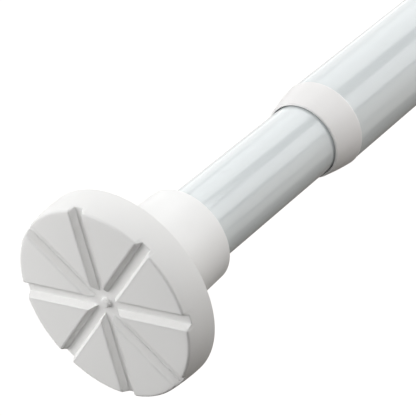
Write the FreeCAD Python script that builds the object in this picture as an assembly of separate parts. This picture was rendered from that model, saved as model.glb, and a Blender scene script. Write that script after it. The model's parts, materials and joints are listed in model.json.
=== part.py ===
import FreeCAD, Part
import math
import os

# A sprung tension rod that is wedged between two walls. A slim painted tube slides
# out of a wider one. Inside, a spindle pushed by a spring carries a screw and cone,
# which spread a split shoe against the wide tube's bore when the rod is twisted.
# The rod lies along X with its origin on the axis, in the middle of its stored length.
# Sizes are in millimetres. "Station" is a distance along X from the near wall plane.

# Tubes
inner_tube_od = 13.0
inner_tube_wall = 0.5
outer_tube_od = 16.0
outer_tube_wall = 0.6
outer_tube_length = 364.5
shown_length = 32.0

# Room left in the wide tube between the end of the lock's screw and the far foot, as stored
lock_reserve = 36.2

# Grip pad: an elastomer cup over the disc of the foot, cut by grooves across its face
face_diameter = 32.6
rim_diameter = 33.4
pad_height = 5.9
pad_front = 2.6
pad_edge_break = 0.4
side_crown = 0.12
pad_lip_height = 0.6
pad_lip_reach = 0.6
groove_count = 8
groove_width = 2.6
groove_floor_width = 1.2
groove_depth = 1.2
groove_edge_break = 0.12
groove_phase = 28.8
nub_diameter = 1.7
nub_height = 0.6
stem_diameter = 5.0
barb_diameter = 6.8
barb_tip_diameter = 3.4
barb_length = 2.4

# Foot cap: a hard disc and a tapered neck in one moulding. The diameters are those of the
# cap on the slim tube, and the cap on the wide tube has the same wall.
neck_length = 15.8
neck_root_diameter = 17.4
neck_mouth_diameter = 16.8
neck_mouth_rounding = 0.25
neck_fillet = 1.2
disc_wall = 1.3
socket_floor = 1.0
seat_gap = 0.05

# Collar and guide bush in the mouth of the wide tube
collar_length = 6.1
collar_nose_diameter = 14.1
collar_back_diameter = 16.2
collar_nose_rounding = 0.3
collar_crown = 0.08
collar_edge_break = 0.15
collar_recess_gap = 0.1
collar_recess_depth = 1.0
bush_length = 16.0

# Running clearance, on the radius, of everything that slides or turns
running_gap = 0.1

# Gap between two flat faces that push on each other from different moving pieces
thrust_gap = 0.05

# Tail guide in the inner end of the slim tube
guide_length = 18.0
guide_flange = 3.0
bead_width = 2.6
bead_depth = 0.4

# Spindle, with two flats that key it to the guide
spindle_diameter = 7.0
spindle_flats = 5.2
spindle_head_diameter = 11.4
spindle_head = 3.0
spigot_diameter = 7.0
spigot_length = 7.0
shoulder_diameter = 13.2
shoulder_thickness = 3.0
spring_stroke = 12.0
stroke_reserve = 1.0

# Screw
screw_diameter = 5.0
screw_socket = 14.0
screw_end_chamfer = 0.5
thrust_washer_diameter = 12.4
thrust_washer_thickness = 0.8

# Split shoe, spread by the cone
shoe_length = 17.0
shoe_floor = 2.4
shoe_cone_start_diameter = 7.4
shoe_cone_end_diameter = 12.6
shoe_slot_count = 4
shoe_slot_width = 1.3
shoe_slot_root = 5.0
ring_section = 1.0
ring_from_end = 3.0

# Cone with keys that run in the shoe's slots, and its captive nut
cone_clearance = 0.03
cone_entry = 2.0
cone_head = 6.6
cone_head_diameter = 13.0
key_gap = 0.15
key_ring_gap = 0.15
nut_flats = 8.0
nut_thickness = 4.0
nut_chamfer = 0.5
nut_travel = 1.6

# Clip in a groove at the end of the screw
clip_diameter = 9.0
clip_thickness = 0.6
clip_groove_depth = 0.5
clip_mouth = 3.6
clip_reserve = 0.5
screw_overhang = 1.2

# Coil spring and its seats
spring_wire = 1.5
spring_diameter = 10.8
spring_length = 80.0
spring_turns = 13
closed_pitch = 1.6
seat_washer_thickness = 1.0
stop_length = 10.0
stop_hole = 3.0

inner_od_r = inner_tube_od / 2
inner_bore_r = inner_od_r - inner_tube_wall
outer_od_r = outer_tube_od / 2
outer_bore_r = outer_od_r - outer_tube_wall

# How far a cutter runs past what it cuts
cutter_overrun = 1.0

# Stations along the rod, from the near wall plane
disc_back = pad_height - pad_lip_height
socket_station = disc_back + socket_floor
neck_mouth = disc_back + neck_length
collar_front = neck_mouth + shown_length
outer_tube_start = collar_front + collar_length
outer_tube_end = outer_tube_start + outer_tube_length
rod_length = outer_tube_end + socket_station

# The lock, worked back from the far end of the wide tube to the tail of the slim one
screw_end = outer_tube_end - lock_reserve
clip_start = screw_end - screw_overhang - clip_thickness
cone_back = clip_start - clip_reserve - nut_travel
nut_start = cone_back - nut_thickness
cone_shoulder = cone_back - cone_head
shoe_end = cone_shoulder - cone_clearance
shoe_start = shoe_end - shoe_length
cone_start = shoe_start + shoe_floor + cone_entry
washer_end = shoe_start - thrust_gap
washer_start = washer_end - thrust_washer_thickness
shoulder_start = washer_start - shoulder_thickness
tail = shoulder_start - stroke_reserve - spring_stroke - guide_flange

# The spring and its seats, worked back from the tail guide
guide_start = tail - guide_length
guide_bead = guide_start + guide_length / 2
head_end = guide_start - thrust_gap
head_start = head_end - spindle_head
spring_end = head_start - seat_washer_thickness
stop_end = spring_end - spring_length
stop_start = stop_end - stop_length
stop_bead = (stop_start + stop_end) / 2

X_AXIS = FreeCAD.Vector(1, 0, 0)
Z_AXIS = FreeCAD.Vector(0, 0, 1)
ORIGIN = FreeCAD.Vector(0, 0, 0)


class Outline:
    """A half section in the plane through the axis, drawn by station and radius."""

    def __init__(self, station, radius):
        self.start = self.here = FreeCAD.Vector(station, radius, 0)
        self.edges = []

    def line(self, station, radius):
        end = FreeCAD.Vector(station, radius, 0)
        self.edges.append(Part.LineSegment(self.here, end).toShape())
        self.here = end
        return self

    def bulge(self, station, radius, rise):
        """An arc to the given point, whose middle stands off its chord by rise."""
        end = FreeCAD.Vector(station, radius, 0)
        chord = end - self.here
        side = FreeCAD.Vector(-chord.y, chord.x, 0).normalize()
        middle = (self.here + end) * 0.5 + side * rise
        self.edges.append(Part.Arc(self.here, middle, end).toShape())
        self.here = end
        return self

    def round(self, station, radius):
        """A quarter circle to the given point, which bulges away from its chord."""
        span = math.hypot(station - self.here.x, radius - self.here.y)
        return self.bulge(station, radius, span * (math.sqrt(2) - 1) / 2)

    def solid(self):
        self.line(self.start.x, self.start.y)
        face = Part.Face(Part.Wire(self.edges))
        return face.revolve(ORIGIN, X_AXIS, 360)


def ring(start, end, inside, outside):
    """A plain tube between two stations."""
    return Outline(start, inside).line(start, outside).line(end, outside).line(end, inside).solid()


def bar(start, end, radius):
    return Part.makeCylinder(radius, end - start, FreeCAD.Vector(start, 0, 0), X_AXIS)


def box(start, end, width, height):
    """A block centred on the axis."""
    corner = FreeCAD.Vector(start, -width / 2, -height / 2)
    return Part.makeBox(end - start, width, height, corner)


def turned(shape, degrees):
    copy = shape.copy()
    copy.rotate(ORIGIN, X_AXIS, degrees)
    return copy


def hexagon(start, end, flats):
    corners = []
    for i in range(7):
        angle = math.radians(60 * i)
        radius = flats / math.sqrt(3)
        corners.append(FreeCAD.Vector(start, radius * math.cos(angle), radius * math.sin(angle)))
    return Part.Face(Part.makePolygon(corners)).extrude(FreeCAD.Vector(end - start, 0, 0))


def two_flats(start, end, diameter, flats):
    """A round bar with two opposite flats."""
    return bar(start, end, diameter / 2).common(box(start, end, flats, 2 * diameter))


def beaded(outline, bead, radius, direction):
    """Runs an outline along a tube past a rolled-in bead, towards plus or minus X."""
    outline.line(bead - direction * bead_width / 2, radius)
    outline.bulge(bead + direction * bead_width / 2, radius, -direction * bead_depth)
    return outline


def groove_cutter():
    """The trapezoid of one groove, run right across the face, with eased top edges."""
    half_top = groove_width / 2
    half_floor = groove_floor_width / 2
    ease = groove_edge_break
    half = [
        (-cutter_overrun, half_top + ease + cutter_overrun),
        (ease, half_top),
        (groove_depth, half_floor),
    ]
    section = half + [(x, -y) for x, y in reversed(half)]
    reach = rim_diameter / 2 + cutter_overrun
    corners = [FreeCAD.Vector(x, y, -reach) for x, y in section]
    face = Part.Face(Part.makePolygon(corners + corners[:1]))
    return face.extrude(FreeCAD.Vector(0, 0, 2 * reach))


def grip_pad():
    face_r = face_diameter / 2
    rim_r = rim_diameter / 2
    pocket_r = face_r - disc_wall + seat_gap
    lip_r = pocket_r - pad_lip_reach
    stem_r = stem_diameter / 2
    half = Outline(0, 0)
    half.line(0, face_r - pad_edge_break)
    half.round(pad_edge_break, face_r)
    half.bulge(pad_height, rim_r, side_crown)
    half.line(pad_height, lip_r)
    half.line(disc_back, lip_r)
    half.line(disc_back, pocket_r)
    half.line(pad_front, pocket_r)
    half.line(pad_front, stem_r)
    half.line(socket_station, stem_r)
    half.line(socket_station, barb_diameter / 2)
    half.line(socket_station + barb_length, barb_tip_diameter / 2)
    half.line(socket_station + barb_length, 0)
    pad = half.solid()
    cutter = groove_cutter()
    step = 360 / groove_count
    for i in range(groove_count // 2):
        # The cutter lies along Z, a quarter turn on from the direction that the phase counts from
        pad = pad.cut(turned(cutter, groove_phase - 90 + i * step))
    nub = bar(groove_depth - nub_height, groove_depth + nub_height, nub_diameter / 2)
    return pad.fuse(nub).removeSplitter()


def foot_cap(tube_r):
    """The cap whose neck takes a tube of that radius."""
    disc_r = face_diameter / 2 - disc_wall
    hole_r = stem_diameter / 2 + seat_gap
    root_r = neck_root_diameter / 2 + tube_r - inner_od_r
    mouth_r = neck_mouth_diameter / 2 + tube_r - inner_od_r
    soft = neck_mouth_rounding
    half = Outline(pad_front, hole_r)
    half.line(pad_front, disc_r)
    half.line(disc_back, disc_r)
    half.line(disc_back, root_r + neck_fillet)
    half.bulge(disc_back + neck_fillet, root_r, -neck_fillet * (math.sqrt(2) - 1) / math.sqrt(2))
    half.line(neck_mouth - soft, mouth_r)
    half.round(neck_mouth, mouth_r - soft)
    half.line(neck_mouth, tube_r + seat_gap)
    half.line(socket_station, tube_r + seat_gap)
    half.line(socket_station, hole_r)
    return half.solid()


def inner_tube():
    half = Outline(socket_station, inner_od_r)
    for bead in (stop_bead, guide_bead):
        beaded(half, bead, inner_od_r, 1)
    half.line(tail, inner_od_r)
    half.line(tail, inner_bore_r)
    for bead in (guide_bead, stop_bead):
        beaded(half, bead, inner_bore_r, -1)
    half.line(socket_station, inner_bore_r)
    return half.solid()


def mouth_collar():
    bore_r = inner_od_r + running_gap
    recess_r = bore_r + collar_recess_gap
    nose_r = collar_nose_diameter / 2
    back_r = collar_back_diameter / 2
    soft = collar_nose_rounding
    bush_r = outer_bore_r
    half = Outline(collar_front, recess_r)
    half.line(collar_front, nose_r - soft)
    half.round(collar_front + soft, nose_r)
    half.bulge(outer_tube_start - collar_edge_break, back_r, collar_crown)
    half.round(outer_tube_start, back_r - collar_edge_break)
    half.line(outer_tube_start, bush_r)
    half.line(outer_tube_start + bush_length, bush_r)
    half.line(outer_tube_start + bush_length, bore_r)
    half.line(collar_front + collar_recess_depth, bore_r)
    half.line(collar_front + collar_recess_depth, recess_r)
    return half.solid()


def outer_tube():
    return ring(outer_tube_start, outer_tube_end, outer_bore_r, outer_od_r)


def tail_guide():
    flange_r = outer_bore_r - running_gap
    half = Outline(guide_start, 0)
    half.line(guide_start, inner_bore_r)
    beaded(half, guide_bead, inner_bore_r, 1)
    half.line(tail, inner_bore_r)
    half.line(tail, flange_r)
    half.line(tail + guide_flange, flange_r)
    half.line(tail + guide_flange, 0)
    gap = 2 * running_gap
    bore = two_flats(guide_start, tail + guide_flange, spindle_diameter + gap, spindle_flats + gap)
    return half.solid().cut(bore)


def spring_stop():
    spigot_end = stop_end + spigot_length
    half = Outline(stop_start, stop_hole / 2)
    half.line(stop_start, inner_bore_r)
    beaded(half, stop_bead, inner_bore_r, 1)
    half.line(stop_end, inner_bore_r)
    half.line(stop_end, spigot_diameter / 2)
    half.line(spigot_end, spigot_diameter / 2)
    half.line(spigot_end, stop_hole / 2)
    return half.solid()


def helix(start, length, pitch, radius):
    """A helix about Z, whose turns begin over the X axis."""
    coil = Part.makeHelix(pitch, length, radius)
    coil.translate(FreeCAD.Vector(0, 0, start))
    return coil


def compression_spring():
    """An open coil with one closed turn at each end."""
    wire_r = spring_wire / 2
    coil_r = spring_diameter / 2 - wire_r
    travel = spring_length - spring_wire
    open_length = travel - 2 * closed_pitch
    open_pitch = open_length / (spring_turns - 2)
    turns = helix(0, closed_pitch, closed_pitch, coil_r).Edges
    turns += helix(closed_pitch, open_length, open_pitch, coil_r).Edges
    turns += helix(travel - closed_pitch, closed_pitch, closed_pitch, coil_r).Edges
    circle = Part.Circle(FreeCAD.Vector(coil_r, 0, 0), FreeCAD.Vector(0, 1, 0), wire_r)
    coil = Part.Wire(turns).makePipeShell([Part.Wire(circle.toShape())], True, True)
    coil.rotate(ORIGIN, FreeCAD.Vector(0, 1, 0), 90)
    coil.translate(FreeCAD.Vector(stop_end + wire_r, 0, 0))
    return coil


def spring_seat_washer():
    return ring(spring_end, head_start, spigot_diameter / 2, spindle_head_diameter / 2)


def spindle():
    spigot_start = spring_end - spigot_length
    body = bar(spigot_start, head_start, spigot_diameter / 2)
    body = body.fuse(bar(head_start, head_end, spindle_head_diameter / 2))
    body = body.fuse(two_flats(head_end, shoulder_start, spindle_diameter, spindle_flats))
    body = body.fuse(bar(shoulder_start, washer_start, shoulder_diameter / 2))
    socket = bar(washer_start - screw_socket, washer_start, screw_diameter / 2)
    return body.cut(socket).removeSplitter()


def threaded_screw():
    radius = screw_diameter / 2
    start = washer_start - screw_socket
    groove_r = radius - clip_groove_depth
    chamfer = screw_end_chamfer
    half = Outline(start, 0)
    half.line(start, radius)
    half.line(clip_start, radius)
    half.line(clip_start, groove_r)
    half.line(clip_start + clip_thickness, groove_r)
    half.line(clip_start + clip_thickness, radius)
    half.line(screw_end - chamfer, radius)
    half.line(screw_end, radius - chamfer)
    half.line(screw_end, 0)
    return half.solid()


def thrust_washer():
    inside = screw_diameter / 2 + seat_gap
    return ring(washer_start, washer_end, inside, thrust_washer_diameter / 2)


def screw_clip():
    """An open ring that is pushed on from the side into the screw's groove."""
    end = clip_start + clip_thickness
    clip = ring(clip_start, end, screw_diameter / 2 - clip_groove_depth, clip_diameter / 2)
    mouth = FreeCAD.Vector(clip_start, -clip_mouth / 2, 0)
    return clip.cut(Part.makeBox(clip_thickness, clip_mouth, clip_diameter, mouth))


def shoe_taper_radius(station):
    """The radius of the shoe's tapered bore at a station."""
    start = shoe_start + shoe_floor
    share = (station - start) / (shoe_end - start)
    small = shoe_cone_start_diameter / 2
    return small + share * (shoe_cone_end_diameter / 2 - small)


def slots(width, start, end):
    """Radial slabs at the shoe's slots, as a list of solids."""
    slab = Part.makeBox(end - start, width, outer_od_r, FreeCAD.Vector(start, -width / 2, 0))
    return [turned(slab, i * 360 / shoe_slot_count) for i in range(shoe_slot_count)]


def ring_station():
    return shoe_end - ring_from_end


def brake_shoe():
    shoe_r = outer_bore_r - running_gap
    half_ring = ring_section / 2
    floor_end = shoe_start + shoe_floor
    half = Outline(shoe_start, screw_diameter / 2 + running_gap)
    half.line(shoe_start, shoe_r)
    half.line(ring_station() - half_ring, shoe_r)
    half.line(ring_station() - half_ring, shoe_r - ring_section)
    half.line(ring_station() + half_ring, shoe_r - ring_section)
    half.line(ring_station() + half_ring, shoe_r)
    half.line(shoe_end, shoe_r)
    half.line(shoe_end, shoe_taper_radius(shoe_end))
    half.line(floor_end, shoe_taper_radius(floor_end))
    half.line(floor_end, screw_diameter / 2 + running_gap)
    shoe = half.solid()
    for slot in slots(shoe_slot_width, shoe_start + shoe_slot_root, shoe_end):
        shoe = shoe.cut(slot)
    return shoe


def shoe_ring():
    """The elastic ring that closes the shoe and drags on the tube."""
    radius = outer_bore_r - running_gap / 2 - ring_section / 2
    centre = FreeCAD.Vector(ring_station(), 0, 0)
    return Part.makeTorus(radius, ring_section / 2, centre, X_AXIS)


def lock_cone():
    bore_r = screw_diameter / 2 + running_gap
    head_r = cone_head_diameter / 2
    key_r = outer_bore_r - running_gap - ring_section - key_ring_gap
    half = Outline(cone_start, bore_r)
    half.line(cone_start, shoe_taper_radius(cone_start) - cone_clearance)
    half.line(shoe_end, shoe_taper_radius(shoe_end) - cone_clearance)
    half.line(cone_shoulder, shoe_taper_radius(shoe_end) - cone_clearance)
    half.line(cone_shoulder, head_r)
    half.line(cone_back, head_r)
    half.line(cone_back, bore_r)
    cone = half.solid()
    round_limit = bar(cone_start, cone_back, key_r)
    key_start = shoe_start + shoe_slot_root + key_gap + cone_entry
    for key in slots(shoe_slot_width - 2 * key_gap, key_start, cone_back):
        beyond_bore = key.cut(bar(cone_start, cone_back, bore_r))
        cone = cone.fuse(beyond_bore.common(round_limit))
    pocket = hexagon(nut_start, cone_back, nut_flats + 2 * seat_gap)
    return cone.cut(pocket).removeSplitter()


def cone_nut():
    end = nut_start + nut_thickness
    tip_r = nut_flats / math.sqrt(3) - nut_chamfer
    flat_r = nut_flats / math.sqrt(3) + seat_gap
    half = Outline(nut_start, screw_diameter / 2 + seat_gap)
    half.line(nut_start, tip_r)
    half.line(nut_start + nut_chamfer, flat_r)
    half.line(end - nut_chamfer, flat_r)
    half.line(end, tip_r)
    half.line(end, screw_diameter / 2 + seat_gap)
    return half.solid().common(hexagon(nut_start, end, nut_flats))


def placed(shape):
    """Moves a piece from its stations to the frame, whose origin is mid-rod."""
    copy = shape.copy()
    copy.translate(FreeCAD.Vector(-rod_length / 2, 0, 0))
    return copy


def at_far_end(shape):
    """A shape of the near end, turned round to the far end of the rod."""
    copy = placed(shape)
    copy.rotate(ORIGIN, Z_AXIS, 180)
    return copy


def pieces():
    pad = grip_pad()
    return {
        "near_grip_pad": placed(pad),
        "near_foot_cap": placed(foot_cap(inner_od_r)),
        "inner_tube": placed(inner_tube()),
        "spring_stop": placed(spring_stop()),
        "tail_guide": placed(tail_guide()),
        "compression_spring": placed(compression_spring()),
        "spring_seat_washer": placed(spring_seat_washer()),
        "spindle": placed(spindle()),
        "threaded_screw": placed(threaded_screw()),
        "thrust_washer": placed(thrust_washer()),
        "screw_clip": placed(screw_clip()),
        "brake_shoe": placed(brake_shoe()),
        "shoe_ring": placed(shoe_ring()),
        "lock_cone": placed(lock_cone()),
        "cone_nut": placed(cone_nut()),
        "mouth_collar": placed(mouth_collar()),
        "outer_tube": placed(outer_tube()),
        "far_foot_cap": at_far_end(foot_cap(outer_od_r)),
        "far_grip_pad": at_far_end(pad),
    }


os.makedirs("parts", exist_ok=True)
for name, shape in pieces().items():
    bounds = shape.BoundBox
    valid = shape.isValid() and len(shape.Solids) == 1
    print(f"{name}: x {bounds.XMin:.2f} to {bounds.XMax:.2f}, volume {shape.Volume:.1f}, valid {valid}")
    shape.exportStep(f"parts/{name}.step")
print(f"rod length {rod_length:.2f}")
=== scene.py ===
import bpy
import bmesh
import json
import math
from mathutils import Matrix, Vector


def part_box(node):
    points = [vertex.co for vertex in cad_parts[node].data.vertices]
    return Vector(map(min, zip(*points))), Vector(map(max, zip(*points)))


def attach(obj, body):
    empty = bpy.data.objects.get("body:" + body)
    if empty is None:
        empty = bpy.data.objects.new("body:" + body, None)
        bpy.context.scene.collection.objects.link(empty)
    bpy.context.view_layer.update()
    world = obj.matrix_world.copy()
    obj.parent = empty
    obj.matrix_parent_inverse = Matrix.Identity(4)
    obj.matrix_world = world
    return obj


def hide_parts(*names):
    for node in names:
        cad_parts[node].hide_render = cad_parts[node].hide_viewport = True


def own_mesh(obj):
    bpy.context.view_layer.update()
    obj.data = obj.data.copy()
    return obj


# Looks of the tension rod. Lengths are in metres, and the rod lies along X.
# "Station" is a distance along the rod from the wall plane of the foot that a piece belongs to.

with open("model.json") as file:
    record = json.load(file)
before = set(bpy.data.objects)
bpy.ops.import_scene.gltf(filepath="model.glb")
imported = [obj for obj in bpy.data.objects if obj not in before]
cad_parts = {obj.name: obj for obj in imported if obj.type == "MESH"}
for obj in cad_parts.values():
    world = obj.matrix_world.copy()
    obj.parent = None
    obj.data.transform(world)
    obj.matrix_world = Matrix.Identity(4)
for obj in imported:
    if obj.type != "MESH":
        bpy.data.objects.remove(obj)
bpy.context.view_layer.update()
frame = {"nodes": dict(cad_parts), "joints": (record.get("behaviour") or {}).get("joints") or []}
MM = 0.001


def low(node):
    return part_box(node)[0]


def high(node):
    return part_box(node)[1]


NEAR_WALL = low("near_grip_pad").x
FAR_WALL = high("far_grip_pad").x

# Grip pad
RIM_R = high("near_grip_pad").z
FACE_R = 16.3 * MM
PAD_HEIGHT = 5.9 * MM
PAD_FRONT = 2.6 * MM
PAD_EDGE_ROUNDING = 0.45 * MM
EDGE_ROUNDING_LOST_IN_GROOVE = 0.6
PAD_RIM_ROUNDING = 0.12 * MM
SIDE_CROWN = 0.12 * MM
LIP_HEIGHT = 0.6 * MM
LIP_REACH = 0.6 * MM
DISC_WALL = 1.3 * MM
GROOVES = 8
GROOVE_WIDTH = 2.6 * MM
GROOVE_FLOOR = 1.6 * MM
GROOVE_DEPTH = 1.1 * MM
GROOVE_EDGE_ROUNDING = 0.35 * MM
GROOVE_FLOOR_ROUNDING = 0.15 * MM
WEDGE_CORNER = 0.2 * MM
WEDGE_CORNER_FADE = 0.4 * MM
GROOVE_PHASE = math.radians(28.8)
NUB_R = 0.85 * MM
NUB_TOP_SHARE = 0.85
NUB_HEIGHT = 0.6 * MM
NUB_SINK = 0.1 * MM
NUB_ROUNDING = 0.25 * MM
STEM_R = 2.5 * MM
BARB_R = 3.4 * MM
BARB_TIP_R = 1.7 * MM
BARB_LENGTH = 2.4 * MM

# Foot cap
DISC_BACK = PAD_HEIGHT - LIP_HEIGHT
SOCKET = DISC_BACK + 1.0 * MM
DISC_EDGE_ROUNDING = 0.1 * MM
NECK_MOUTH = high("near_foot_cap").x - NEAR_WALL
NECK_ROOT_WALL = 2.2 * MM
NECK_MOUTH_WALL = 1.9 * MM
NECK_CROWN = 0.1 * MM
NECK_FILLET = 1.4 * MM
NECK_MOUTH_ROUNDING = 0.2 * MM
NECK_BORE_ROUNDING = 0.15 * MM
SEAT_GAP = 0.05 * MM

# Tubes and collar
INNER_TUBE_R = high("inner_tube").z
OUTER_TUBE_R = high("outer_tube").z
INNER_WALL = 0.5 * MM
OUTER_WALL = 0.6 * MM
TUBE_EDGE_ROUNDING = 0.12 * MM
BEAD_WIDTH = 2.6 * MM
BEAD_DEPTH = 0.4 * MM
STOP_SPIGOT_LENGTH = 7.0 * MM
GUIDE_LENGTH = 18.0 * MM
COLLAR_NOSE_R = 7.05 * MM
COLLAR_NOSE_ROUNDING = 0.3 * MM
COLLAR_BACK_ROUNDING = 0.15 * MM
COLLAR_CROWN = 0.08 * MM
COLLAR_RECESS = 0.1 * MM
COLLAR_RECESS_DEPTH = 1.0 * MM
COLLAR_RECESS_ROUNDING = 0.08 * MM
BUSH_END_ROUNDING = 0.2 * MM
BUSH_BORE_ROUNDING = 0.1 * MM
RUNNING_GAP = 0.1 * MM

# Spring and screw
SPRING_WIRE_R = 0.75 * MM
SPRING_TURNS = 13
SPRING_CLOSED_TURNS = 1
SPRING_CLOSED_PITCH = 1.6 * MM
SPRING_START = math.radians(-90)
SCREW_R = 2.5 * MM
SCREW_PITCH = 0.8 * MM
SCREW_THREAD_DEPTH = 0.42 * MM
SCREW_TIP_CHAMFER = 0.5 * MM
SCREW_ROOT_CHAMFER = 0.3 * MM
CLIP_GROOVE_DEPTH = 0.5 * MM

# Meshes
SMOOTH_BELOW = math.radians(32)
WELD_BELOW = 1e-7
ROUNDING_REACH = 0.49
SIDE_STEP_GROWTH = 1.3

# Studio
FLOOR_DROP = 0.2
FLOOR_HALF = 3.0
FLOOR_COLOUR = (0.16, 0.15, 0.14)
FLOOR_WHITE = 0.9
# The floor's glow in glossy rays is a painted reflection, cut down by a painted shadow on the eye's
# side of the rod.
FLOOR_PAINTED_REFLECTION = 0.75
PAINTED_SHADOW_EDGE = 0.12
PAINTED_SHADOW_FADE = 6.0
PAINTED_SHADOW_LEVEL = 0.08
WORLD_LEVEL = 0.02
LAMP_DISTANCE = 1.0
FACE_LAMP_DISTANCE = 0.2
LIT_STATION = 0.03
LOW_LAMP_DISTANCE = 0.33
LOW_LIT_STATION = 0.07
WARM = (1, 0.94, 0.88)
WHITE = (1, 1, 1)
BLACK = (0, 0, 0)

# Camera: its place from the middle of the near face, the way it looks, and its lens in millimetres
CAMERA_PLACE = Vector((-0.16034, -0.13859, 0.17942))
GAZE = Vector((0.63898, 0.47369, -0.60607))
LENS = 160.3
SENSOR = 36
NEAREST_SEEN = 0.01


class Value:
    """A number socket of a material, which Python's operators join to others."""

    def __init__(self, finish, socket):
        self.finish = finish
        self.socket = socket

    def math(self, operation, first, second, clamp=False):
        settings = {"operation": operation, "use_clamp": clamp}
        return self.finish.node("ShaderNodeMath", settings, {0: first, 1: second})

    def __add__(self, other):
        return self.math("ADD", self, other)

    __radd__ = __add__

    def __sub__(self, other):
        return self.math("SUBTRACT", self, other)

    def __rsub__(self, other):
        return self.math("SUBTRACT", other, self)

    def __mul__(self, other):
        return self.math("MULTIPLY", self, other)

    __rmul__ = __mul__

    def clamped(self):
        return self.math("ADD", self, 0.0, clamp=True)


class Finish:
    """A node material under construction."""

    def __init__(self, name):
        self.material = bpy.data.materials.new(name)
        self.material.use_nodes = True
        self.tree = self.material.node_tree
        self.shader = self.tree.nodes["Principled BSDF"]

    def fill(self, socket, value):
        if isinstance(value, Value):
            self.tree.links.new(value.socket, socket)
        else:
            socket.default_value = value

    def node(self, kind, settings=None, inputs=None, output=0):
        """Adds a node, makes its settings, fills its sockets and returns one output."""
        made = self.tree.nodes.new(kind)
        for name, value in (settings or {}).items():
            setattr(made, name, value)
        for name, value in (inputs or {}).items():
            self.fill(made.inputs[name], value)
        return Value(self, made.outputs[output])

    def place(self):
        return self.node("ShaderNodeTexCoord", output="Object")

    def noise(self, feature, detail, roughness=0.5):
        """Noise from 0 to 1 whose features are about that many metres long."""
        sockets = {
            "Vector": self.place(), "Scale": 1 / feature, "Detail": detail, "Roughness": roughness,
        }
        return self.node("ShaderNodeTexNoise", {"noise_dimensions": "3D"}, sockets, "Fac")

    def mix(self, mask, first, second):
        """A colour that goes from the first to the second as the mask goes from 0 to 1.

        The node's sockets 6 and 7 and its output 2 are the ones for colours.
        """
        settings = {"data_type": "RGBA", "blend_type": "MIX"}
        inputs = {0: mask, 6: (*first, 1), 7: (*second, 1)}
        return self.node("ShaderNodeMix", settings, inputs, 2)

    def set(self, sockets):
        for name, value in sockets.items():
            self.fill(self.shader.inputs[name], value)

    def clouded(self, colour, feature, gain, dark, light):
        """The colour, drifting in clouds between a darker and a lighter shade of itself."""
        clouds = contrast(self.noise(feature, detail=2), gain)
        return self.mix(clouds, shade(colour, dark), shade(colour, light))

    def bump(self, height, depth):
        inputs = {"Height": height, "Distance": depth, "Strength": 1.0}
        normal = self.node("ShaderNodeBump", {}, inputs, "Normal")
        self.fill(self.shader.inputs["Normal"], normal)


def contrast(value, gain):
    """Noise spread about its middle, kept between 0 and 1."""
    return ((value - 0.5) * gain + 0.5).clamped()


def uneven(roughness, grain, spread):
    """A roughness that a grain's noise spreads to either side of its middle."""
    return roughness + (grain - 0.5) * spread


def shade(colour, factor):
    return tuple(c * factor for c in colour)


def moulded(name, colour, roughness, grain_size, grain_depth):
    """Moulded plastic or elastomer: clouded a little, with the mould's fine spark grain."""
    finish = Finish(name)
    grain = finish.noise(grain_size, detail=4, roughness=0.6)
    finish.set({
        "Base Color": finish.clouded(colour, feature=9 * MM, gain=1.6, dark=0.985, light=1.01),
        "Roughness": uneven(roughness, grain, spread=0.12),
        "Specular IOR Level": 0.4,
    })
    finish.bump(grain, grain_depth)
    return finish.material


def grip_elastomer():
    """White elastomer, more matte than the hard mouldings."""
    colour = (0.84, 0.838, 0.828)
    return moulded("grip_elastomer", colour, 0.55, grain_size=0.22 * MM, grain_depth=0.006 * MM)


def cap_plastic():
    colour = (0.865, 0.865, 0.858)
    return moulded("cap_plastic", colour, 0.38, grain_size=0.35 * MM, grain_depth=0.003 * MM)


def collar_plastic():
    colour = (0.868, 0.858, 0.85)
    return moulded("collar_plastic", colour, 0.36, grain_size=0.35 * MM, grain_depth=0.003 * MM)


def nylon():
    colour = (0.80, 0.77, 0.68)
    return moulded("natural_nylon", colour, 0.42, grain_size=0.4 * MM, grain_depth=0.004 * MM)


def dark_nylon():
    colour = (0.035, 0.037, 0.04)
    return moulded("dark_nylon", colour, 0.45, grain_size=0.3 * MM, grain_depth=0.004 * MM)


def black_rubber():
    colour = (0.02, 0.02, 0.02)
    return moulded("black_rubber", colour, 0.7, grain_size=0.25 * MM, grain_depth=0.006 * MM)


def tube_enamel():
    """Baked enamel on tube: cool pale grey with a glossy skin and faint orange peel."""
    finish = Finish("tube_enamel")
    colour = (0.70, 0.742, 0.752)
    peel = finish.noise(1.4 * MM, detail=2, roughness=0.45)
    finish.set({
        "Base Color": finish.clouded(colour, feature=6 * MM, gain=1.5, dark=0.99, light=1.008),
        "Roughness": uneven(0.22, peel, spread=0.05),
        "Coat Weight": 0.75,
        "Coat Roughness": 0.1,
    })
    finish.bump(peel, depth=0.0012 * MM)
    return finish.material


def metal(name, colour, roughness):
    """Bare or plated steel, with a fine grain and faint stains."""
    finish = Finish(name)
    grain = finish.noise(0.5 * MM, detail=4, roughness=0.65)
    finish.set({
        "Base Color": finish.clouded(colour, feature=4 * MM, gain=1.5, dark=0.92, light=1.04),
        "Roughness": uneven(roughness, grain, spread=0.2),
        "Metallic": 1.0,
    })
    finish.bump(grain, depth=0.004 * MM)
    return finish.material


def arch(share):
    """Rises from 0 to 1 at the middle of its run and falls back to 0."""
    return 4 * share * (1 - share)


def rounded(corners, steps=5):
    """The points (station, radius, rounding) as an outline whose corners are softened."""
    outline = []
    count = len(corners)
    for i, (x, y, soft) in enumerate(corners):
        here = Vector((x, y))
        if soft == 0:
            outline.append(here)
            continue
        back = Vector(corners[i - 1][:2]) - here
        ahead = Vector(corners[(i + 1) % count][:2]) - here
        room = ROUNDING_REACH * min(back.length, ahead.length)
        reach = min(soft / math.tan(back.angle(ahead) / 2), room)
        start = here + back.normalized() * reach
        end = here + ahead.normalized() * reach
        for step in range(steps + 1):
            t = step / steps
            outline.append(start * (1 - t) ** 2 + here * 2 * t * (1 - t) + end * t ** 2)
    return outline


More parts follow.
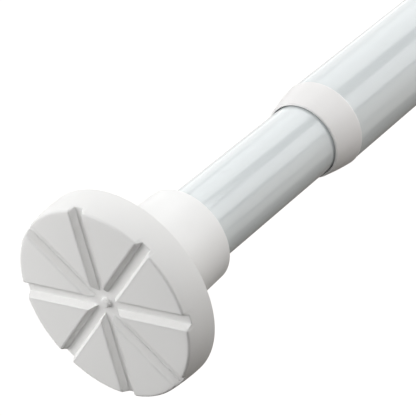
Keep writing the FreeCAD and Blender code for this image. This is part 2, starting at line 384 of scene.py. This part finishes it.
def crowned(start, end, rise, first=1, steps=10):
    """Corners between two points of an outline, on a shallow arc that stands off their chord.

    The steps before the first one are left out, where a rounding needs their room.
    """
    made = []
    for step in range(first, steps):
        t = step / steps
        station = start[0] + (end[0] - start[0]) * t
        radius = start[1] + (end[1] - start[1]) * t + rise * arch(t)
        made.append((station, radius, 0))
    return made


def finished(node, mesh_data, material, body):
    """Makes the piece that stands in for a plain solid, and says which body it rides on."""
    name = node + "_detailed"
    bmesh.ops.remove_doubles(mesh_data, verts=mesh_data.verts, dist=WELD_BELOW)
    bmesh.ops.recalc_face_normals(mesh_data, faces=mesh_data.faces)
    mesh = bpy.data.meshes.new(name)
    mesh_data.to_mesh(mesh)
    mesh_data.free()
    mesh.shade_smooth()
    mesh.set_sharp_from_angle(angle=SMOOTH_BELOW)
    mesh.materials.append(material)
    piece = bpy.data.objects.new(name, mesh)
    bpy.context.scene.collection.objects.link(piece)
    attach(piece, body)
    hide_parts(node)
    return piece


def grid_faces(mesh_data, rows, wrap_rows=False, wrap_columns=False):
    """Quads between neighbouring rows of vertices."""
    height = len(rows) if wrap_rows else len(rows) - 1
    for i in range(height):
        first, second = rows[i], rows[(i + 1) % len(rows)]
        width = len(first) if wrap_columns else len(first) - 1
        for j in range(width):
            k = (j + 1) % len(first)
            mesh_data.faces.new((first[j], first[k], second[k], second[j]))


def lathe(outline, place, segments=128):
    """A closed outline of stations and radii, turned about the rod's axis."""
    mesh_data = bmesh.new()
    rows = []
    for point in outline:
        row = []
        for j in range(segments):
            angle = 2 * math.pi * j / segments
            row.append(mesh_data.verts.new(place(point.x, point.y, angle)))
        rows.append(row)
    grid_faces(mesh_data, rows, wrap_rows=True, wrap_columns=True)
    return mesh_data


def at_near(station, radius, angle):
    """A point by its station from the near wall, with the angle about the rod from +Y to +Z."""
    return Vector((NEAR_WALL + station, radius * math.cos(angle), radius * math.sin(angle)))


def at_far(station, radius, angle):
    """The same point of a foot that is turned half round about Z to face the far wall."""
    return Vector((FAR_WALL - station, -radius * math.cos(angle), radius * math.sin(angle)))


def side_radius(station):
    """The radius of the pad's side band, which widens to the rim with a slight crown."""
    share = station / PAD_HEIGHT
    return min(FACE_R + (RIM_R - FACE_R) * share + SIDE_CROWN * arch(share), RIM_R)


def groove_section():
    """Pairs of distance from a groove's centre line and depth, from its floor out onto the wedge."""
    outer = (side_radius(PAD_EDGE_ROUNDING) - PAD_EDGE_ROUNDING) * math.sin(math.pi / GROOVES)
    inner = GROOVE_WIDTH / 2
    corners = [
        (0, GROOVE_DEPTH, 0),
        (GROOVE_FLOOR / 2, GROOVE_DEPTH, GROOVE_FLOOR_ROUNDING),
        (inner, 0, GROOVE_EDGE_ROUNDING),
        (outer, 0, 0),
    ]
    section = rounded(corners, steps=6)[:-1]
    for end, steps in ((inner + WEDGE_CORNER, 3), (outer, 8)):
        start = section[-1].x
        section += [Vector((start + (end - start) * (i + 1) / steps, 0)) for i in range(steps)]
    return section


def corner_cut(across, depth):
    """How far a wedge's softened outer corner stands back from the round of the face."""
    beside = min(max((across - GROOVE_WIDTH / 2) / WEDGE_CORNER, 0), 1)
    return WEDGE_CORNER / 2 * (1 - beside) ** 2 * (1 - depth / GROOVE_DEPTH)


def pad_column(across, depth, along_steps=12, round_steps=5, side_steps=16):
    """Stations, radii and angles from the middle of the face, over its edge and back to the axis."""
    cut = corner_cut(across, depth)
    soft = PAD_EDGE_ROUNDING * (1 - EDGE_ROUNDING_LOST_IN_GROOVE * depth / GROOVE_DEPTH)
    start = depth + soft
    face_end = side_radius(start) - cut - soft
    along_start = across / math.tan(math.pi / GROOVES)
    along_end = math.sqrt(max(face_end ** 2 - across ** 2, along_start ** 2))
    turn = math.atan2(across, along_end)
    column = []
    for i in range(along_steps + 1):
        along = along_start + (along_end - along_start) * i / along_steps
        column.append((depth, math.hypot(along, across), math.atan2(across, along)))
    for i in range(1, round_steps + 1):
        swing = math.pi / 2 * i / round_steps
        column.append((depth + soft * (1 - math.cos(swing)), face_end + soft * math.sin(swing), turn))
    side_end = PAD_HEIGHT - PAD_RIM_ROUNDING
    for i in range(1, side_steps + 1):
        station = start + (side_end - start) * (i / side_steps) ** SIDE_STEP_GROWTH
        outside_painted_shadow = min((station - start) / (GROOVE_DEPTH + WEDGE_CORNER_FADE), 1)
        column.append((station, side_radius(station) - cut * (1 - outside_painted_shadow) ** 2, turn))
    pocket_r = FACE_R - DISC_WALL + SEAT_GAP
    lip_r = pocket_r - LIP_REACH
    barb_end = SOCKET + BARB_LENGTH
    inside = [
        (PAD_HEIGHT, RIM_R - PAD_RIM_ROUNDING), (PAD_HEIGHT, lip_r),
        (DISC_BACK, lip_r), (DISC_BACK, pocket_r), (PAD_FRONT, pocket_r), (PAD_FRONT, STEM_R),
        (SOCKET, STEM_R), (SOCKET, BARB_R), (barb_end, BARB_TIP_R), (barb_end, 0),
    ]
    return column + [(station, radius, turn) for station, radius in inside]


def grip_pad(node, place, material, body):
    """The pad is made of sixteen like half wedges, each from a groove's centre line to a wedge's."""
    columns = [pad_column(point.x, point.y) for point in groove_section()]
    mesh_data = bmesh.new()
    for groove in range(GROOVES):
        centre = GROOVE_PHASE + groove * 2 * math.pi / GROOVES
        for side in (1, -1):
            rows = []
            for column in columns:
                rows.append([mesh_data.verts.new(place(s, r, centre + side * a)) for s, r, a in column])
            grid_faces(mesh_data, rows)
    base = GROOVE_DEPTH + NUB_SINK
    top = GROOVE_DEPTH - NUB_HEIGHT
    corners = [
        (base, 0, 0), (base, NUB_R, 0), (top, NUB_R * NUB_TOP_SHARE, NUB_ROUNDING), (top, 0, 0),
    ]
    dome = lathe(rounded(corners), place, segments=40)
    button = bpy.data.meshes.new("button")
    dome.to_mesh(button)
    dome.free()
    mesh_data.from_mesh(button)
    bpy.data.meshes.remove(button)
    finished(node, mesh_data, material, body)


def foot_cap(node, place, tube_r, material, body):
    """The disc under the pad and the tapered neck that holds the tube, in one moulding."""
    disc_r = FACE_R - DISC_WALL
    hole_r = STEM_R + SEAT_GAP
    bore_r = tube_r + SEAT_GAP
    root = (DISC_BACK, tube_r + NECK_ROOT_WALL)
    mouth = (NECK_MOUTH, tube_r + NECK_MOUTH_WALL)
    corners = [
        (PAD_FRONT, hole_r, 0),
        (PAD_FRONT, disc_r, DISC_EDGE_ROUNDING),
        (DISC_BACK, disc_r, DISC_EDGE_ROUNDING),
        (*root, NECK_FILLET),
        *crowned(root, mouth, NECK_CROWN, first=2),
        (*mouth, NECK_MOUTH_ROUNDING),
        (NECK_MOUTH, bore_r, NECK_BORE_ROUNDING),
        (SOCKET, bore_r, 0),
        (SOCKET, hole_r, 0),
    ]
    finished(node, lathe(rounded(corners, steps=8), place), material, body)


def beads(stations, radius, reverse=False):
    """Corners of a tube's wall where it dips at its rolled-in beads."""
    made = []
    for centre in stations:
        start = (centre - BEAD_WIDTH / 2, radius)
        end = (centre + BEAD_WIDTH / 2, radius)
        made += [(*start, 0), *crowned(start, end, -BEAD_DEPTH), (*end, 0)]
    return made[::-1] if reverse else made


def inner_tube(material):
    start = low("inner_tube").x - NEAR_WALL
    end = high("inner_tube").x - NEAR_WALL
    stop = (low("spring_stop").x + high("spring_stop").x) / 2 - NEAR_WALL
    bore_r = INNER_TUBE_R - INNER_WALL
    soft = TUBE_EDGE_ROUNDING
    centres = [stop - STOP_SPIGOT_LENGTH / 2, end - GUIDE_LENGTH / 2]
    corners = [(start, INNER_TUBE_R, soft), *beads(centres, INNER_TUBE_R), (end, INNER_TUBE_R, soft)]
    corners += [(end, bore_r, soft), *beads(centres, bore_r, reverse=True), (start, bore_r, soft)]
    mesh_data = lathe(rounded(corners, steps=3), at_near)
    finished("inner_tube", mesh_data, material, "inner_half")


def outer_tube(material):
    start = low("outer_tube").x - NEAR_WALL
    end = high("outer_tube").x - NEAR_WALL
    bore_r = OUTER_TUBE_R - OUTER_WALL
    soft = TUBE_EDGE_ROUNDING
    corners = [(start, OUTER_TUBE_R, soft), (end, OUTER_TUBE_R, soft)]
    corners += [(end, bore_r, soft), (start, bore_r, soft)]
    mesh_data = lathe(rounded(corners, steps=3), at_near)
    finished("outer_tube", mesh_data, material, "outer_half")


def mouth_collar(material):
    """The ring on the wide tube's mouth, in one moulding with the bush inside the tube."""
    front = low("mouth_collar").x - NEAR_WALL
    back = low("outer_tube").x - NEAR_WALL
    bush_end = high("mouth_collar").x - NEAR_WALL
    back_r = high("mouth_collar").z
    bore_r = INNER_TUBE_R + RUNNING_GAP
    recess_r = bore_r + COLLAR_RECESS
    recess_end = front + COLLAR_RECESS_DEPTH
    bush_r = OUTER_TUBE_R - OUTER_WALL
    nose = (front, COLLAR_NOSE_R)
    heel = (back, back_r)
    corners = [
        (front, recess_r, COLLAR_RECESS_ROUNDING),
        (*nose, COLLAR_NOSE_ROUNDING),
        *crowned(nose, heel, COLLAR_CROWN, first=4),
        (*heel, COLLAR_BACK_ROUNDING),
        (back, bush_r, 0),
        (bush_end, bush_r, BUSH_END_ROUNDING),
        (bush_end, bore_r, BUSH_BORE_ROUNDING),
        (recess_end, bore_r, 0),
        (recess_end, recess_r, 0),
    ]
    mesh_data = lathe(rounded(corners, steps=8), at_near)
    finished("mouth_collar", mesh_data, material, "outer_half")


def compression_spring(material):
    """A coil with a closed turn at each end."""
    start, end = low("compression_spring").x, high("compression_spring").x
    coil_r = high("compression_spring").z - SPRING_WIRE_R
    open_turns = SPRING_TURNS - 2 * SPRING_CLOSED_TURNS
    travel = end - start - 2 * SPRING_WIRE_R
    open_pitch = (travel - 2 * SPRING_CLOSED_TURNS * SPRING_CLOSED_PITCH) / open_turns
    steps_per_turn = 40
    around = 14
    mesh_data = bmesh.new()
    rows = []
    station = start + SPRING_WIRE_R
    for i in range(SPRING_TURNS * steps_per_turn + 1):
        turn = i / steps_per_turn
        closed = turn < SPRING_CLOSED_TURNS or turn >= SPRING_TURNS - SPRING_CLOSED_TURNS
        pitch = SPRING_CLOSED_PITCH if closed else open_pitch
        angle = SPRING_START + 2 * math.pi * turn
        radial = Vector((0, math.cos(angle), math.sin(angle)))
        tangent = Vector((0, -math.sin(angle), math.cos(angle)))
        along = Vector((pitch, 0, 0)) + tangent * 2 * math.pi * coil_r
        across = along.cross(radial).normalized()
        centre = Vector((station, 0, 0)) + radial * coil_r
        row = []
        for j in range(around):
            swing = 2 * math.pi * j / around
            spot = centre + (radial * math.cos(swing) + across * math.sin(swing)) * SPRING_WIRE_R
            row.append(mesh_data.verts.new(spot))
        rows.append(row)
        station += pitch / steps_per_turn
    grid_faces(mesh_data, rows, wrap_columns=True)
    mesh_data.faces.new(rows[0])
    mesh_data.faces.new(rows[-1])
    piece = finished("compression_spring", mesh_data, material, "inner_half")
    joint = next(j for j in frame["joints"] if j["name"] == "spring_stroke")
    stroke = joint["range_m"][1]
    1 - stroke / (end - start)
    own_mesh(piece)


def threaded_screw(material):
    """The thread is the ridge of a helix, cut back at the clip's groove and both ends."""
    start, end = low("threaded_screw").x, high("threaded_screw").x
    groove_start, groove_end = low("screw_clip").x, high("screw_clip").x
    segments = 48
    rings_per_pitch = 8
    count = round((end - start) / SCREW_PITCH * rings_per_pitch)
    mesh_data = bmesh.new()
    rows = []
    for i in range(count + 1):
        station = start + (end - start) * i / count
        to_tip = SCREW_TIP_CHAMFER - (end - station)
        to_root = SCREW_ROOT_CHAMFER - (station - start)
        limit = SCREW_R - max(0, to_tip, to_root)
        if groove_start <= station <= groove_end:
            limit = SCREW_R - CLIP_GROOVE_DEPTH
        row = []
        for j in range(segments):
            turn = j / segments
            phase = (station / SCREW_PITCH - turn) % 1
            ridge = SCREW_R - SCREW_THREAD_DEPTH * abs(2 * phase - 1)
            radius = min(ridge, limit)
            angle = 2 * math.pi * turn
            spot = (station, radius * math.cos(angle), radius * math.sin(angle))
            row.append(mesh_data.verts.new(spot))
        rows.append(row)
    grid_faces(mesh_data, rows, wrap_columns=True)
    mesh_data.faces.new(rows[0])
    mesh_data.faces.new(rows[-1])
    finished("threaded_screw", mesh_data, material, "spindle_unit")


def dress(node, material):
    """A plain solid keeps its shape and takes a finish."""
    mesh = frame["nodes"][node].data
    mesh.materials.clear()
    mesh.materials.append(material)


def white_backdrop_and_painted_reflection(finish):
    """1 for the rays that see the white backdrop, a painted reflection for glossy rays, and 0 for those
    that light the rod.

    The painted reflection is cut down on the eye's side of the rod, a painted shadow in the gloss.
    """
    camera_ray = finish.node("ShaderNodeLightPath", output="Is Camera Ray")
    glossy_ray = finish.node("ShaderNodeLightPath", output="Is Glossy Ray")
    clear_ray = finish.node("ShaderNodeLightPath", output="Is Transmission Ray")
    across = finish.node("ShaderNodeSeparateXYZ", {}, {"Vector": finish.place()}, "Y")
    # Painted shadow: the floor's painted reflection fades out on the eye's side of the rod.
    rise = ((across - PAINTED_SHADOW_EDGE) * PAINTED_SHADOW_FADE).clamped()
    outside_painted_shadow = rise * (1 - PAINTED_SHADOW_LEVEL) + PAINTED_SHADOW_LEVEL
    return (camera_ray + glossy_ray * outside_painted_shadow * FLOOR_PAINTED_REFLECTION + clear_ray).clamped()


def backdrop():
    """A pale floor below the rod that reads as white but throws little light back up. In glossy rays it
    glows as a painted reflection, with a painted shadow on the eye's side of the rod.
    """
    mesh = bpy.data.meshes.new("floor")
    corners = []
    for x, y in ((-1, -1), (1, -1), (1, 1), (-1, 1)):
        corners.append((x * FLOOR_HALF, y * FLOOR_HALF, -FLOOR_DROP))
    mesh.from_pydata(corners, [], [(0, 1, 2, 3)])
    floor = bpy.data.objects.new("floor", mesh)
    bpy.context.scene.collection.objects.link(floor)
    finish = Finish("floor_paper_with_painted_reflection")
    finish.set({"Base Color": (*FLOOR_COLOUR, 1), "Roughness": 0.9, "Specular IOR Level": 0.1})
    glow = finish.mix(white_backdrop_and_painted_reflection(finish), BLACK, WHITE)
    finish.set({"Emission Color": glow, "Emission Strength": FLOOR_WHITE})
    mesh.materials.append(finish.material)


def world_light():
    """Faint light from all round, with a white backdrop for the eye."""
    world = bpy.data.worlds.new("studio")
    bpy.context.scene.world = world
    world.use_nodes = True
    tree = world.node_tree
    rays = tree.nodes.new("ShaderNodeLightPath")
    level = tree.nodes.new("ShaderNodeMapRange")
    level.inputs["To Min"].default_value = WORLD_LEVEL
    level.inputs["To Max"].default_value = 1
    tree.links.new(rays.outputs["Is Camera Ray"], level.inputs["Value"])
    background = tree.nodes["Background"]
    background.inputs["Color"].default_value = (*WHITE, 1)
    tree.links.new(level.outputs["Result"], background.inputs["Strength"])


def mirrored(degrees):
    """The direction that the tubes mirror to the eye, by its angle about the rod from +Y to +Z."""
    around = math.radians(degrees)
    across = math.sqrt(1 - GAZE.x ** 2)
    return (GAZE.x, across * math.cos(around), across * math.sin(around))


def softbox(name, direction, size, level, distance=LAMP_DISTANCE, station=LIT_STATION, colour=WHITE):
    """An area lamp turned to a station of the rod, whose first size runs round the rod.

    At level 1 it lights a white face squarely to white.
    """
    lamp = bpy.data.lights.new(name, "AREA")
    lamp.shape = "RECTANGLE"
    lamp.size, lamp.size_y = size
    lamp.energy = level * (math.pi * distance) ** 2
    lamp.color = colour
    aim = Vector(direction).normalized()
    round_rod = Vector((1, 0, 0)).cross(aim).normalized()
    turn = Matrix((round_rod, aim.cross(round_rod), aim)).transposed()
    box = bpy.data.objects.new(name, lamp)
    place = Vector((NEAR_WALL + station, 0, 0)) + aim * distance
    box.matrix_world = Matrix.Translation(place) @ turn.to_4x4()
    box.visible_camera = False
    bpy.context.scene.collection.objects.link(box)


def camera():
    """A long lens that looks down at the near foot from its wall's side."""
    lens = bpy.data.cameras.new("camera")
    lens.sensor_width = SENSOR
    lens.lens = LENS
    lens.clip_start = NEAREST_SEEN
    view = bpy.data.objects.new("camera", lens)
    view.location = Vector((NEAR_WALL, 0, 0)) + CAMERA_PLACE
    view.rotation_euler = GAZE.to_track_quat("-Z", "Y").to_euler()
    bpy.context.scene.collection.objects.link(view)
    bpy.context.scene.camera = view


elastomer = grip_elastomer()
cap = cap_plastic()
enamel = tube_enamel()
pale_nylon = nylon()
shoe_nylon = dark_nylon()
rubber = black_rubber()
wire = metal("spring_wire", (0.42, 0.42, 0.43), 0.35)
zinc = metal("zinc_plate", (0.66, 0.67, 0.69), 0.3)

grip_pad("near_grip_pad", at_near, elastomer, "inner_half")
grip_pad("far_grip_pad", at_far, elastomer, "outer_half")
foot_cap("near_foot_cap", at_near, INNER_TUBE_R, cap, "inner_half")
foot_cap("far_foot_cap", at_far, OUTER_TUBE_R, cap, "outer_half")
inner_tube(enamel)
outer_tube(enamel)
mouth_collar(collar_plastic())
compression_spring(wire)
threaded_screw(zinc)
for node in ("spring_stop", "tail_guide", "spindle", "lock_cone"):
    dress(node, pale_nylon)
for node in ("spring_seat_washer", "thrust_washer", "cone_nut"):
    dress(node, zinc)
dress("brake_shoe", shoe_nylon)
dress("shoe_ring", rubber)
dress("screw_clip", wire)

backdrop()
world_light()
softbox("key_box", (-0.5, -0.2, 0.84), (0.9, 0.9), 0.345)
softbox("eye_side_box", (-0.5, -0.5, 0.7), (0.5, 0.5), 0.15)
softbox("low_back_box", mirrored(12), (0.6, 1.0), 0.255)
softbox("high_back_box", mirrored(62), (0.73, 1.0), 0.445)
softbox("top_box", (0.4, -0.2, 0.9), (0.25, 0.25), 0.115)
softbox("shoulder_strip", mirrored(131), (0.5, 0.9), 0.28)
low_light = {"distance": LOW_LAMP_DISTANCE, "station": LOW_LIT_STATION, "colour": WARM}
softbox("flank_strip", mirrored(170), (0.15, 0.3), 0.125, **low_light)
softbox("low_strip", mirrored(202), (0.12, 0.3), 0.07, **low_light)
softbox("rear_box", (0.98, -0.12, 0.1), (0.3, 0.3), 0.25)
face_light = {"distance": FACE_LAMP_DISTANCE, "station": 0}
softbox("face_side_box", (-0.6, 0.8, -0.05), (0.12, 0.12), 0.68, **face_light)
softbox("face_high_box", (-0.5, 0.7, 0.5), (0.12, 0.12), 0.24, **face_light)
camera()
bpy.context.scene.view_settings.view_transform = "Standard"
